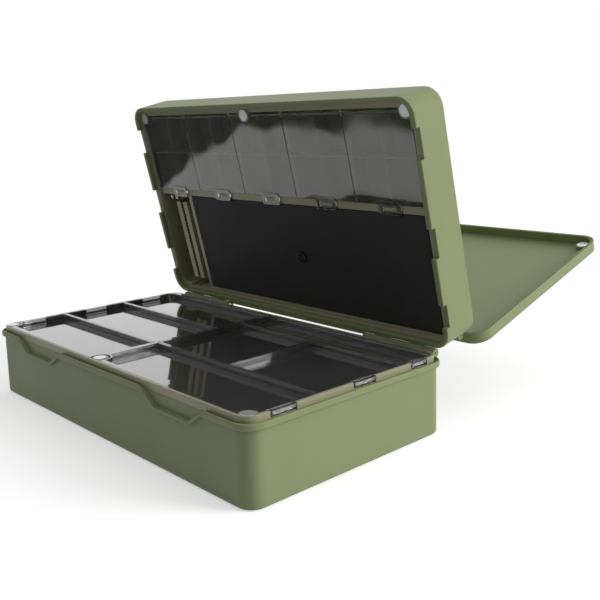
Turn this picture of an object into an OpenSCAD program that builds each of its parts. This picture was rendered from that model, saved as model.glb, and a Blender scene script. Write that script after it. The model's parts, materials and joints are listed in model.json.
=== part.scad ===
// Three-tier tackle box, shown opened out on its rear hinges:
// a base tub under six dished lids, a middle tray, and a shallow top lid.
// Millimetres. X runs left to right, Y front to back, Z up.
// The origin is the middle of the base's underside. Every module draws its piece
// in the closed box, and tray_pose() and lid_pose() swing it to where it stands.

/* [Closed box] */
// Length of the closed box, side to side
box_w = 360; // [300:1:440]
// Depth of the closed box, front to back
box_d = 196; // [160:1:240]
// Corner radius seen from above
corner_r = 15; // [14:0.5:22]
// Height of the base up to its rim
base_h = 57.2; // [44:0.1:80]
// Height of the middle tray between its two rims
tray_h = 33.6; // [28:0.1:50]
// Height of the top lid
lid_h = 10.3; // [8.5:0.1:16]
// Gap left between closed rims
seam_gap = 0.2; // [0.1:0.05:0.4]

/* [Opening angles] */
// Angle at which the middle tray stands against its stops
tray_open = 76.95; // [60:0.05:95]
// Angle at which the top lid stands against its stops
lid_open = 86.1; // [60:0.05:95]

/* [Base tub] */
// Wall thickness of the tub
tub_wall = 3; // [2.5:0.1:4]
// Floor thickness of the tub
tub_floor = 2.6; // [1.5:0.1:4]
// Radius along the lower edge
tub_edge_r = 2.5; // [1:0.1:4]
// Height of the bead round the rim
bead_h = 4.7; // [3:0.1:7]
// How far the bead stands proud of the wall
bead_proud = 2.5; // [1:0.1:3.5]
// Rounding of the bead's edges
bead_r = 1; // [0.5:0.1:1.4]
// Thickness of the lip that holds the frame
lip_t = 1.6; // [1.2:0.1:1.8]
// Depth of the groove behind the lip
groove_depth = 1.6; // [1:0.1:2.4]

/* [Finger dips] */
// Distance of each dip's middle from the middle of the front
dip_x = 98; // [60:0.5:105]
// Half width of a dip at its bottom, under the bead
dip_half = 20.9; // [12:0.1:26]
// Depth of the dip below the bead's own underside
dip_drop = 9.2; // [5:0.1:14]
// Slope of the dip's ends from level
dip_slope = 33; // [28:1:60]
// Thickness of the bead where it follows the dip
dip_bead = 2.4; // [1.5:0.1:3.5]
// Rounding of the dip's corners
dip_r = 3; // [1:0.1:4]

/* [Seat frames] */
// Upstand of a frame above the rim
upstand_h = 3.8; // [3:0.1:5]
// Thickness of the upstand
upstand_t = 2.2; // [1.6:0.1:3]
// Set-back of the upstand from the box's side faces
upstand_in_x = 4.8; // [4.4:0.1:6]
// Set-back of the upstand from the box's front and rear faces
upstand_in_y = 3.6; // [3.4:0.1:5]
// Depth of the skirt that locates a frame in its shell
locate_h = 5.5; // [3:0.1:7]
// Thickness of that skirt
locate_t = 1.4; // [1:0.1:1.6]
// Slack of one part that drops into another
drop_gap = 0.2; // [0.1:0.05:0.4]
// Gap between an upstand and the skirt that covers it
cover_gap = 0.4; // [0.3:0.05:0.8]

/* [Magnets] */
// Diameter of a magnet
magnet_d = 10; // [8:0.5:10]
// Thickness of a magnet
magnet_t = 2.8; // [2:0.1:3.2]
// Radius of the boss round a magnet
boss_r = 6.5; // [6:0.1:7]
// Set-back of the corner magnets from the box's side faces
magnet_in_x = 11.5; // [11:0.5:14]
// Set-back of the magnets from the front face
magnet_in_y = 11; // [10.5:0.5:13]
// Place of the middle magnet along the front
magnet_mid_x = -12; // [-40:1:40]

/* [Base compartments] */
// Seam between the left and the right lids
seam_x = -16.9; // [-30:0.1:10]
// Depth of the left front compartment row, from the frame
left_front_row = 57.95; // [45:0.05:66]
// Depth of the left rear compartment row
left_rear_row = 62.45; // [45:0.05:66]
// Depth of the right front compartment row
right_front_row = 60.95; // [40:0.05:66]
// Depth of the right rear compartment row
right_rear_row = 35.95; // [30:0.05:60]
// Cross divider of the right middle row, from the right side of the frame
cross_in = 97; // [60:0.5:120]
// Thickness of the compartment walls
divider_t = 2; // [1.2:0.1:2.4]

/* [Dished lids] */
// Thickness of a lid's flange
flange_t = 1.6; // [1.2:0.1:2]
// Depth of the dished window below the flange
dish_depth = 5; // [3:0.1:7]
// Thickness of the window pane
pane_t = 1.2; // [1:0.1:2]
// Thickness of the upright edge of the dish
riser_t = 0.8; // [0.6:0.1:1]
// Width of flange between window and tub front or rear
flange_end = 3.9; // [3:0.1:6]
// Width of flange between window and next row
flange_row = 1.5; // [1.2:0.1:3]
// Width of flange on the seam side
flange_seam = 2; // [1.8:0.1:3]
// Width of flange on the outer side
flange_side = 1.1; // [1.1:0.1:2]
// Width of the strip between two windows of one lid
window_strip = 3; // [2.4:0.1:5]
// Gap round a lid
lid_gap = 0.3; // [0.2:0.05:0.5]
// Radius of the hinge pegs
peg_r = 0.7; // [0.5:0.05:0.8]
// Peg axis below the top of the flange
peg_drop = 0.85; // [0.75:0.05:1]
// Peg axis inboard from the seam edge
peg_in = 1.5; // [1.4:0.1:1.8]
// Widths of the finger tabs on the left, front to rear
left_tab_w = [22, 23, 22];
// Widths of the finger tabs on the right, front to rear
right_tab_w = [21.5, 21.5, 17];
// Shift of each left tab from the middle of its lid
left_tab_shift = [-0.8, 1.7, 2];
// Shift of each right tab from the middle of its lid
right_tab_shift = [-1.8, -1, -4.2];
// Thickness of a finger tab
tab_t = 2.6; // [1.8:0.1:3]
// How far a tab reaches beyond the upstand's outer face
tab_reach = 0.8; // [0.4:0.1:1.2]

/* [Middle tray] */
// Wall thickness of the tray
tray_wall = 2.6; // [2:0.1:3]
// How far the lip between the hinges stands out
lip_proud = 2; // [0.6:0.1:2.6]
// Height of the lip between the hinges
lip_h = 3; // [2:0.1:8]
// Thickness of the web between the tray's two sides
web_t = 2.2; // [1.6:0.1:3]
// Depth of the lower side, from its rim to the web
lower_depth = 23.4; // [19:0.1:34]
// Rounding of the tray's outer edges
tray_edge_r = 1; // [0.5:0.1:1.4]
// Height of the rim round the lower frame
rim_h = 4.2; // [4:0.1:6]
// Width of the frame's first step along its sides
step_one_x = 1.5; // [1:0.1:3]
// Width of the frame's first step at front and rear
step_one_y = 2.2; // [1:0.1:3]
// Width of the frame's second step along its sides
step_two_x = 1; // [0.6:0.1:2]
// Width of the frame's second step at front and rear
step_two_y = 3.2; // [1.4:0.1:4]
// Height of each step
step_h = 1.2; // [0.8:0.1:1.6]
// Height of the frame's ring
frame_h = 3.8; // [3:0.1:5]
// Depth of the field of small compartments, front to back
strip_field = 74.7; // [60:0.1:80]
// Width of the bar that closes the small compartments
crossbar_d = 6.5; // [5:0.1:9]
// Thickness of the bar's face
crossbar_t = 3; // [2:0.1:4]
// Number of flat lids in the row
strip_count = 5; // [3:1:6]
// Thickness of the thin walls between the small compartments
cell_wall = 1.2; // [0.8:0.1:1.6]
// Place of the wall between the two rows of cells, from the front of the field
cell_row = 38.7; // [30:0.1:45]

/* [Flat lids] */
// Thickness of a flat lid
strip_t = 1.2; // [1:0.1:1.6]
// Gap between neighbouring flat lids
strip_gap = 0.5; // [0.4:0.05:0.8]
// Radius of a flat lid's hinge rod
rod_r = 0.9; // [0.8:0.05:1.1]
// Width of the posts that hold the rods, at the seams between the lids
rod_post_w = 1.7; // [1.5:0.1:2.4]
// Width of the snap clip
clip_w = 23; // [16:0.5:26]
// Thickness of the snap clip
clip_t = 1.5; // [1.2:0.1:2]

/* [Rig board] */
// Thickness of the foam board
board_t = 4; // [3:0.5:6]
// Gap round the board
board_gap = 0.5; // [0.3:0.1:1]
// Depth of the board's face below the tray rim
board_drop = 6.2; // [5.5:0.1:7]
// Diameter of the pull knob
knob_d = 10.6; // [8:0.2:14]
// Height of the pull knob above the board
knob_h = 2.4; // [1.5:0.1:2.4]
// Width of the post under each corner of the board
post_w = 8; // [6:0.5:12]

/* [Comb pocket] */
// Width of the open pocket beside the board
pocket_w = 46.5; // [44:0.5:56]
// Thickness of the rail between pocket and board
rail_t = 4.4; // [2:0.1:5]
// Pitch of the comb's teeth
tooth_pitch = 3.3; // [2.5:0.1:4.5]
// Depth of a tooth
tooth_d = 1.8; // [1.4:0.1:2.4]
// Width of the comb channel
comb_w = 17.5; // [14:0.5:18]
// Slot between the two rows of teeth
comb_slot = 2.2; // [1:0.1:2.4]
// Distance from the pocket's left side to the comb
comb_in = 20; // [17:0.5:20]
// Place of the first hook peg from the pocket's left side
hook_in = 15.8; // [8:0.1:18]
// Distance between the two hook pegs
hook_pitch = 8; // [6:0.5:9]
// Depth of the comb's face below the tray rim
comb_drop = 7.6; // [6:0.1:10]
// Wall thickness of the comb
comb_t = 1.5; // [1.2:0.1:2]
// Depth of the shelf between comb and rail below the tray rim
shelf_drop = 13.6; // [10:0.1:18]

/* [Hinges] */
// Diameter of a hinge pin
pin_d = 3; // [2:0.1:4]
// Running clearance round a pin
pin_fit = 0.05; // [0.02:0.01:0.1]
// Diameter of a knuckle
knuckle_d = 7.5; // [6:0.1:7.8]
// Pin axis behind the rear face
hinge_back = 4.3; // [4.1:0.1:5]
// Height of the lower pin axis above the base rim
hinge_up = 0.5; // [0:0.1:1]
// Where each group of knuckles starts, from the middle of the box
hinge_x = 91; // [60:0.5:95]
// Length of the end knuckles
knuckle_end = 12; // [8:0.5:13]
// Length of the knuckles next to the end ones
knuckle_next = 13.5; // [8:0.5:14]
// Length of the middle knuckle
knuckle_mid = 22; // [12:0.5:23]
// Gap between knuckles
knuckle_gap = 0.25; // [0.2:0.05:0.5]
// Slack of the stop heels
stop_gap = 0.12; // [0.05:0.01:0.3]

/* [Top lid] */
// Thickness of the lid's top
lid_top_t = 2.2; // [1.4:0.1:3]
// Thickness of the lid's skirt
lid_wall = 2.6; // [2:0.1:3]
// Rounding of the lid's upper edge
lid_edge_r = 2.2; // [1:0.1:3]
// Width of the groove in the lid's rim
rim_groove_w = 0.8; // [0.6:0.1:1.2]
// Depth of the groove in the lid's rim
rim_groove_d = 1.2; // [0.5:0.1:2]

/* [Hidden] */
$fn = 48;
bite = 0.4;

half_w = box_w / 2;
half_d = box_d / 2;

// Heights of the rims, upwards through the closed box
tray_z = base_h + seam_gap;
tray_top = tray_z + tray_h;
lid_z = tray_top + seam_gap;
lid_top = lid_z + lid_h;

// Tub and bead
tub_w = box_w - 2 * bead_proud;
tub_d = box_d - 2 * bead_proud;
tub_r = corner_r - bead_proud;
bead_z = base_h - bead_h;
groove_z = base_h - groove_depth;

// Seat frame: upstand ring and the opening inside it
up_w = box_w - 2 * upstand_in_x;
up_d = box_d - 2 * upstand_in_y;
up_r = corner_r - (upstand_in_x + upstand_in_y) / 2;
up_in_w = up_w - 2 * upstand_t;
up_in_d = up_d - 2 * upstand_t;
up_in_r = up_r - upstand_t;
seat_w = tub_w - 2 * tub_wall;
seat_d = tub_d - 2 * tub_wall;
seat_r = tub_r - tub_wall;
base_top = base_h + upstand_h;

// Magnets
magnet_r = magnet_d / 2;
magnet_at = [
    [-(half_w - magnet_in_x), -(half_d - magnet_in_y)],
    [magnet_mid_x, -(half_d - magnet_in_y)],
    [half_w - magnet_in_x, -(half_d - magnet_in_y)]
];
pocket_slack = 0.05;
magnet_show = 0.2;
boss_deep = 11;

// Dished lids: heights, rows and edges
flange_top = base_top;
flange_z = flange_top - flange_t;
pane_top = flange_top - dish_depth;
dish_z = pane_top - pane_t;
peg_z = flange_top - peg_drop;
divider_top = dish_z - 0.3;
seam_half = 0.3;
lid_side_x = up_in_w / 2 - lid_gap - 0.1;
lid_end_y = up_in_d / 2 - lid_gap;
row_half = 0.25;
left_rows = [-up_in_d / 2 + left_front_row, up_in_d / 2 - left_rear_row];
right_rows = [-up_in_d / 2 + right_front_row, up_in_d / 2 - right_rear_row];
cross_x = up_in_w / 2 - cross_in;
left_peg_x = seam_x - seam_half - peg_in;
right_peg_x = seam_x + seam_half + peg_in;
post_half = 0.75;
notch_half = post_half + 0.25;
notch_in = 1.9;
peg_bore_r = peg_r + 0.08;
tab_z1 = flange_top - 0.3;
tab_z0 = tab_z1 - tab_t;
tab_out_x = up_w / 2 + tab_reach;
tab_side_gap = 0.6;
tab_round = 1.4;

// Middle tray, lower side
web_z = tray_z + lower_depth;
web_gap = 0.05;
cover_w = up_w + 2 * cover_gap;
cover_d = up_d + 2 * cover_gap;
cover_r = up_r + cover_gap;
tray_in_w = box_w - 2 * tray_wall;
tray_in_d = box_d - 2 * tray_wall;
tray_in_r = corner_r - tray_wall;
frame_z = tray_z + rim_h;
frame_w = cover_w - 2 * drop_gap;
frame_d = cover_d - 2 * drop_gap;
frame_r = cover_r - drop_gap;
ring_top = frame_z + frame_h;
step_w = frame_w - 2 * step_one_x;
step_d = frame_d - 2 * step_one_y;
step_r = frame_r - (step_one_x + step_one_y) / 2;
field_w = step_w - 2 * step_two_x;
field_d = step_d - 2 * step_two_y;
field_r = step_r - step_two_x - step_two_y;
field_front = -field_d / 2;
field_rear = field_d / 2;
bar_front = field_front + strip_field;
bar_rear = bar_front + crossbar_d;
bar_face = frame_z + 2.6;
bar_wall = 2;

// Flat lids
strip_pitch = (field_w - 2 * strip_gap) / strip_count;
strip_z = bar_face - strip_t;
rod_y = field_front + 3.2;
rod_z = strip_z + rod_r + 0.1;
strip_rear = bar_front - 0.2;
clip_z = bar_face - 0.3 - clip_t;
clip_front = strip_rear - 2.8;
clip_rear = bar_rear + 1.3;
clip_round = 2.5;
slot_w = 13;
slot_d = 4.2;
slot_y = (bar_front + bar_rear) / 2;
frame_boss_r = boss_r - 0.2;
rod_boss = half_w - magnet_in_x - sqrt(pow(frame_boss_r, 2) - pow(rod_y + half_d - magnet_in_y, 2));
rod_reach = rod_boss + 0.9;

// Rig board and pocket
board_z = tray_z + board_drop + 0.6;
pocket_right = -field_w / 2 + pocket_w;
board_left = pocket_right + rail_t + board_gap;
board_right = field_w / 2 - board_gap - 1.5;
board_front = bar_rear + board_gap;
board_rear = field_rear - board_gap;
board_x = (board_left + board_right) / 2;
board_y = (board_front + board_rear) / 2;
post_in = 0.2;
comb_left = -field_w / 2 + comb_in;
comb_right = comb_left + comb_w;
comb_z = tray_z + comb_drop;
comb_front = bar_rear + 8;
comb_rear = field_rear - 4;
shelf_z = tray_z + shelf_drop;
lining_y = step_d / 2 - 0.7;

// Hinges
pin_r = pin_d / 2;
bore_r = pin_r + pin_fit;
knuckle_r = knuckle_d / 2;
axis_y = half_d + hinge_back;
tray_axis_z = base_h + hinge_up;
lid_axis_z = (tray_top + lid_z) / 2;
knuckle_len = [knuckle_end, knuckle_next, knuckle_mid, knuckle_next, knuckle_end];
pin_hole_r = 0.6;
end_wall = 1.2;

// Colours
shell_green = [0.42, 0.47, 0.33];
frame_khaki = [0.55, 0.53, 0.40];
smoke = [0.13, 0.13, 0.14, 0.6];
foam_black = [0.07, 0.07, 0.075];
nickel = [0.80, 0.81, 0.83];

// ---- Poses -------------------------------------------------------------------------

// Swings a piece back about a pin along X
module swing_back(angle, z) {
    translate([0, axis_y, z]) rotate([-angle, 0, 0]) translate([0, -axis_y, -z]) children();
}

module tray_pose() {
    swing_back(tray_open, tray_axis_z) children();
}

module lid_pose() {
    tray_pose() swing_back(lid_open, lid_axis_z) children();
}

// ---- Shapes ------------------------------------------------------------------------

function unit(v) = v / norm(v);

// Points of an arc of radius r that rounds the corner b of the line a-b-c
function round_corner(a, b, c, r, steps = 6) =
    let (
        u = unit(a - b),
        v = unit(c - b),
        half = acos(u * v) / 2,
        centre = b + unit(u + v) * r / sin(half),
        from = b + u * r / tan(half) - centre,
        to = b + v * r / tan(half) - centre,
        start = atan2(from[1], from[0]),
        turn = atan2(from[0] * to[1] - from[1] * to[0], from * to)
    )
    [for (i = [0:steps]) centre + r * [cos(start + turn * i / steps), sin(start + turn * i / steps)]];

// Rectangle with round corners, centred
module rounded_rect(w, d, r) {
    square([w - 2 * r, d], center = true);
    square([w, d - 2 * r], center = true);
    for (sx = [-1, 1], sy = [-1, 1])
        translate([sx * (w / 2 - r), sy * (d / 2 - r)]) circle(r = r);
}

// Upright plate of a rounded rectangle between two heights
module slab(w, d, r, z0, z1) {
    translate([0, 0, z0]) linear_extrude(z1 - z0) rounded_rect(w, d, r);
}

// Upright band between an outer and an inner rounded rectangle
module band(outer, inner, z0, z1) {
    translate([0, 0, z0]) linear_extrude(z1 - z0) difference() {
        rounded_rect(outer[0], outer[1], outer[2]);
        rounded_rect(inner[0], inner[1], inner[2]);
    }
}

// Runs a profile round a rounded rectangle. The profile's X is the distance
// outwards from the corner's centre, and its Y is the height.
module edge_sweep(w, d, r) {
    run_x = w / 2 - r;
    run_y = d / 2 - r;
    for (c = [[1, 1, 0], [-1, 1, 90], [-1, -1, 180], [1, -1, 270]])
        translate([c[0] * run_x, c[1] * run_y, 0]) rotate([0, 0, c[2]])
            rotate_extrude(angle = 90) children();
    for (side = [0, 1]) {
        mirror([side, 0, 0]) translate([run_x, run_y, 0])
            rotate([90, 0, 0]) linear_extrude(2 * run_y) children();
        mirror([0, side, 0]) translate([-run_x, run_y, 0])
            rotate([90, 0, 90]) linear_extrude(2 * run_x) children();
    }
}

// Upright bar whose outer edges are rounded
module rounded_bar(x0, x1, z0, z1, r) {
    translate([x0, z0]) square([x1 - x0 - r, z1 - z0]);
    translate([x0, z0 + r]) square([x1 - x0, z1 - z0 - 2 * r]);
    for (z = [z0 + r, z1 - r])
        translate([x1 - r, z]) circle(r = r);
}

// Box given by its lowest and highest corner
module block(low, high) {
    translate(low) cube(high - low);
}

// Round bar along X
module bar_x(x0, x1, y, z, r) {
    translate([x0, y, z]) rotate([0, 90, 0]) cylinder(r = r, h = x1 - x0);
}

// Round bar along Y
module bar_y(x, y0, y1, z, r) {
    translate([x, y1, z]) rotate([90, 0, 0]) cylinder(r = r, h = y1 - y0);
}

// ---- Hinges ------------------------------------------------------------------------

// Start of knuckle i, counted outwards from the middle of the box
function knuckle_start(i) = i == 0 ? hinge_x : knuckle_start(i - 1) + knuckle_len[i - 1] + knuckle_gap;
hinge_end = knuckle_start(4) + knuckle_len[4];

// Knuckles of one half of a hinge, with their arms to the rear wall between two
// heights. The outermost knuckle has a closed end with a small hole in it.
module knuckles(picks, axis_z, arm_z0, arm_z1) {
    for (side = [0, 1], i = picks) mirror([side, 0, 0]) {
        x0 = knuckle_start(i);
        x1 = x0 + knuckle_len[i];
        difference() {
            union() {
                bar_x(x0, x1, axis_y, axis_z, knuckle_r);
                block([x0, half_d - 0.8, arm_z0], [x1, axis_y, arm_z1]);
            }
            bar_x(x0 - 1, i == 4 ? x1 - end_wall : x1 + 1, axis_y, axis_z, bore_r);
            bar_x(x0 - 1, x1 + 1, axis_y, axis_z, pin_hole_r);
        }
    }
}

// Heels on the knuckles of the upper half, which meet the rear wall of the lower
// half when the joint is fully open
module stop_heels(axis_z, angle) {
    heel_low = 3.1;
    heel_high = 1;
    for (side = [0, 1], i = [1, 3]) mirror([side, 0, 0])
        translate([0, axis_y, axis_z]) rotate([angle, 0, 0]) difference() {
            block([knuckle_start(i), -(hinge_back - stop_gap), -heel_low],
                  [knuckle_start(i) + knuckle_len[i], -1.2, -heel_high]);
            bar_x(knuckle_start(i) - 1, knuckle_start(i) + knuckle_len[i] + 1, 0, 0, bore_r + 0.4);
        }
}

module hinge_pins(axis_z) {
    pin_in = 0.4;
    for (side = [0, 1]) mirror([side, 0, 0])
        bar_x(hinge_x + pin_in, hinge_end - end_wall - pin_in, axis_y, axis_z, pin_r);
}

// ---- Magnets -----------------------------------------------------------------------

// Bosses between two heights, each with a magnet pocket that opens at mouth_z
// and runs away from it, up or down
module magnet_bosses(r, z0, z1) {
    for (at = magnet_at)
        translate([at[0], at[1], z0]) cylinder(r = r, h = z1 - z0);
}

module magnet_pockets(z0, z1) {
    for (at = magnet_at)
        translate([at[0], at[1], z0]) cylinder(r = magnet_r + pocket_slack, h = z1 - z0);
}

module magnets(z0) {
    for (at = magnet_at)
        translate([at[0], at[1], z0]) cylinder(r = magnet_r, h = magnet_t);
}

// ---- Base --------------------------------------------------------------------------

// Corners of a finger dip, mirrored left and right of its middle, grown inwards
// from the underside of the bead by its thickness
function dip_outline(grow, z_high) =
    let (
        z_low = bead_z - dip_drop + grow,
        run = 1 / tan(dip_slope),
        half_low = dip_half + (grow * run) - grow / sin(dip_slope),
        half_high = half_low + (z_high - z_low) * run,
        left = round_corner([-half_high, z_high], [-half_low, z_low], [half_low, z_low], dip_r),
        right = round_corner([-half_low, z_low], [half_low, z_low], [half_high, z_high], dip_r)
    )
    concat([[-half_high, z_high]], left, right, [[half_high, z_high]]);

// Prism of a finger dip's outline between two depths behind the front face
module dip_prism(grow, z_high, y0, y1) {
    for (side = [-1, 1])
        translate([side * dip_x, y1, 0]) rotate([90, 0, 0])
            linear_extrude(y1 - y0) polygon(dip_outline(grow, z_high));
}

module tub_bead() {
    edge_sweep(box_w, box_d, corner_r)
        rounded_bar(corner_r - bead_proud - 0.6, corner_r, bead_z, base_h, bead_r);
}

module base_tub() {
    front = -half_d;
    color(shell_green) {
        difference() {
            union() {
                slab(tub_w, tub_d, tub_r, tub_edge_r, base_h);
                slab(tub_w - 2 * tub_edge_r, tub_d - 2 * tub_edge_r, tub_r - tub_edge_r, 0, 2 * tub_edge_r);
                edge_sweep(tub_w, tub_d, tub_r)
                    translate([tub_r - tub_edge_r, tub_edge_r]) circle(r = tub_edge_r);
                tub_bead();
                dip_prism(0, bead_z + 0.5, front, front + bead_proud + 0.6);
                knuckles([0, 2, 4], tray_axis_z, tray_axis_z - knuckle_r, base_h);
            }
            slab(seat_w, seat_d, seat_r, tub_floor, base_h + 1);
            slab(box_w - 2 * lip_t, box_d - 2 * lip_t, corner_r - lip_t, groove_z, base_h + 1);
            dip_prism(dip_bead, base_h + 1, front - 1, front + upstand_in_y);
        }
    }
}

// Ring of a seat frame: the upstand and the skirt that locates it in its shell
module frame_ring(rim_z, groove) {
    band([up_w, up_d, up_r], [up_in_w, up_in_d, up_in_r], rim_z - groove, rim_z + upstand_h);
    band([seat_w - 2 * drop_gap, seat_d - 2 * drop_gap, seat_r - drop_gap],
         [seat_w - 2 * drop_gap - 2 * locate_t, seat_d - 2 * drop_gap - 2 * locate_t,
          seat_r - drop_gap - locate_t],
         rim_z - groove - locate_h, rim_z - groove + bite);
}

// Ledges at the front and rear that carry the lids' flanges
module flange_ledges() {
    ledge_t = 2;
    ledge_z = flange_z - 0.2;
    clear = flange_seam + 2.3;
    low = up_in_d / 2 - flange_end + lid_gap + riser_t + 0.3;
    for (side = [0, 1]) mirror([0, side, 0]) {
        block([-up_in_w / 2 + 1, low, ledge_z - ledge_t], [seam_x - clear, up_in_d / 2 + bite, ledge_z]);
        block([seam_x + clear, low, ledge_z - ledge_t], [up_in_w / 2 - 1, up_in_d / 2 + bite, ledge_z]);
    }
}

// Middle of each lid from front to rear, for one side's two row lines
function lid_middles(rows) = [
    (-lid_end_y + rows[0]) / 2,
    (rows[0] + rows[1]) / 2,
    (rows[1] + lid_end_y) / 2
];
left_tab_y = lid_middles(left_rows) + left_tab_shift;
right_tab_y = lid_middles(right_rows) + right_tab_shift;

// Cuts a slot for every finger tab, between two distances from the middle
module tab_slots(x0, x1, z0, z1, slack) {
    for (i = [0:2]) {
        left_half = left_tab_w[i] / 2 + slack;
        right_half = right_tab_w[i] / 2 + slack;
        block([-x1, left_tab_y[i] - left_half, z0], [-x0, left_tab_y[i] + left_half, z1]);
        block([x0, right_tab_y[i] - right_half, z0], [x1, right_tab_y[i] + right_half, z1]);
    }
}

module base_frame() {
    boss_top = base_top - 0.2;
    color(frame_khaki) difference() {
        intersection() {
            union() {
                frame_ring(base_h, groove_depth);
                flange_ledges();
                magnet_bosses(boss_r, base_top - boss_deep, boss_top);
            }
            union() {
                slab(up_w, up_d, up_r, groove_z, base_top);
                slab(seat_w - 2 * drop_gap, seat_d - 2 * drop_gap, seat_r - drop_gap,
                     base_top - boss_deep - 1, base_top);
            }
        }
        magnet_pockets(base_top + magnet_show - magnet_t - 0.1, base_top + 1);
        tab_slots(up_in_w / 2 - 1.5, up_w / 2 + 1, groove_z + 0.4, base_top + 1, tab_side_gap);
        for (x = [left_peg_x, right_peg_x])
            bar_y(x, up_in_d / 2 - 1, up_in_d / 2 + 1.4, peg_z, peg_bore_r);
        bar_y(left_peg_x, -up_in_d / 2 - 1.4, -up_in_d / 2 + 0.2, peg_z, peg_bore_r);
        bar_y(right_peg_x, magnet_at[1][1] + 4.8, magnet_at[1][1] + boss_r + 1, peg_z, peg_bore_r);
    }
}

// Post that holds the pegs of two neighbouring lids, on the seam wall
module peg_post(peg_x, y) {
    reach = peg_in - 0.1;
    difference() {
        union() {
            block([peg_x - 1.6, y - post_half, divider_top + 0.2], [peg_x + 1.6, y + post_half, peg_z + 0.7]);
            block([min(peg_x, seam_x - 0.8), y - post_half, divider_top + 0.2],
                  [max(peg_x, seam_x + 0.8), y + post_half, peg_z - 3.2]);
        }
        bar_y(peg_x, y - 1, y + 1, peg_z, peg_bore_r);
    }
}

module base_centre_wall() {
    wall_top = peg_z - 3;
    low_end = seat_d / 2 - drop_gap;
    high_end = low_end - locate_t - 0.5;
    high_front = magnet_at[1][1] + boss_r + 0.4;
    low_top = min(groove_z - locate_h, base_top - boss_deep) - 0.3;
    color(frame_khaki) {
        block([seam_x - divider_t / 2, -low_end, tub_floor], [seam_x + divider_t / 2, low_end, low_top]);
        block([seam_x - divider_t / 2, high_front, tub_floor], [seam_x + divider_t / 2, high_end, wall_top]);
        for (y = left_rows) peg_post(left_peg_x, y);
        for (y = right_rows) peg_post(right_peg_x, y);
    }
}

// Row walls from the seam wall to one side of the tub
module row_walls(rows, side) {
    inner = divider_t / 2 + 0.1;
    low_end = seat_w / 2 - drop_gap;
    high_end = low_end - locate_t - 0.5;
    low_top = groove_z - locate_h - 0.3;
    near = side < 0 ? seam_x - inner : seam_x + inner;
    for (y = rows, part = [[low_end, low_top], [high_end, divider_top]]) {
        far = side * part[0];
        block([min(near, far), y - divider_t / 2, tub_floor], [max(near, far), y + divider_t / 2, part[1]]);
    }
}

module base_left_dividers() {
    color(frame_khaki) row_walls(left_rows, -1);
}

module base_right_dividers() {
    color(frame_khaki) row_walls(right_rows, 1);
}

module base_cross_divider() {
    end = divider_t / 2 + 0.1;
    color(frame_khaki)
        block([cross_x - divider_t / 2, right_rows[0] + end, tub_floor],
              [cross_x + divider_t / 2, right_rows[1] - end, divider_top]);
}

module base_magnets() {
    color(nickel) magnets(base_top + magnet_show - magnet_t);
}

module tray_hinge_pins() {
    color(nickel) hinge_pins(tray_axis_z);
}

// Clearance of the lids round magnet boss i. The middle boss stands close to the
// lids' hinge line, so they keep further off it.
function boss_clear(i) = boss_r + lid_gap + (i == 1 ? 1.3 : 0.1);

// Outline of one window, grown by a margin, kept off the magnet bosses and inside
// the rounded corners of the frame
module window_outline(x0, x1, y0, y1, grow) {
    rim = 1.2;
    side_in = lid_gap + 0.1 + flange_side - grow;
    end_in = lid_gap + flange_end - grow;
    difference() {
        intersection() {
            translate([x0 - grow, y0 - grow]) square([x1 - x0 + 2 * grow, y1 - y0 + 2 * grow]);
            rounded_rect(up_in_w - 2 * side_in, up_in_d - 2 * end_in, up_in_r - 2);
        }
        for (i = [0:2])
            translate(magnet_at[i]) circle(r = boss_clear(i) + rim - grow);
    }
}

// Outline of a lid's flange, kept off the bosses, frame corners and peg posts
module flange_outline(x0, x1, y0, y1) {
    difference() {
        intersection() {
            translate([x0, y0]) square([x1 - x0, y1 - y0]);
            rounded_rect(2 * lid_side_x, 2 * lid_end_y, up_in_r - lid_gap);
        }
        for (i = [0:2])
            translate(magnet_at[i]) circle(r = boss_clear(i));
    }
}

// Lid between two row lines. Side is -1 for the left lids and 1 for the right
// ones, and windows lists the X limits of its windows.
module dished_lid(side, y0, y1, front_row, rear_row, windows, tab_y, tab_w) {
    x0 = side < 0 ? -lid_side_x : seam_x + seam_half;
    x1 = side < 0 ? seam_x - seam_half : lid_side_x;
    peg_x = side < 0 ? left_peg_x : right_peg_x;
    win_y0 = y0 + (front_row ? flange_row : flange_end);
    win_y1 = y1 - (rear_row ? flange_row : flange_end);
    color(smoke) {
        difference() {
            union() {
                translate([0, 0, flange_z]) linear_extrude(flange_t) flange_outline(x0, x1, y0, y1);
                for (w = windows)
                    translate([0, 0, dish_z]) linear_extrude(flange_top - dish_z)
                        window_outline(w[0], w[1], win_y0, win_y1, riser_t);
            }
            for (w = windows)
                translate([0, 0, pane_top]) linear_extrude(dish_depth + 1)
                    window_outline(w[0], w[1], win_y0, win_y1, 0);
            if (front_row)
                peg_notch(peg_x, y0 - row_half);
            if (rear_row)
                peg_notch(peg_x, y1 + row_half);
        }
        lid_pegs(side, peg_x, y0, y1, front_row, rear_row);
        finger_tab(side, tab_y, tab_w);
    }
}

// Clears a lid's corner round a peg post
module peg_notch(peg_x, y) {
    block([peg_x - notch_in, y - notch_half, flange_z - 1],
          [peg_x + notch_in, y + notch_half, flange_top + 1]);
}

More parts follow.
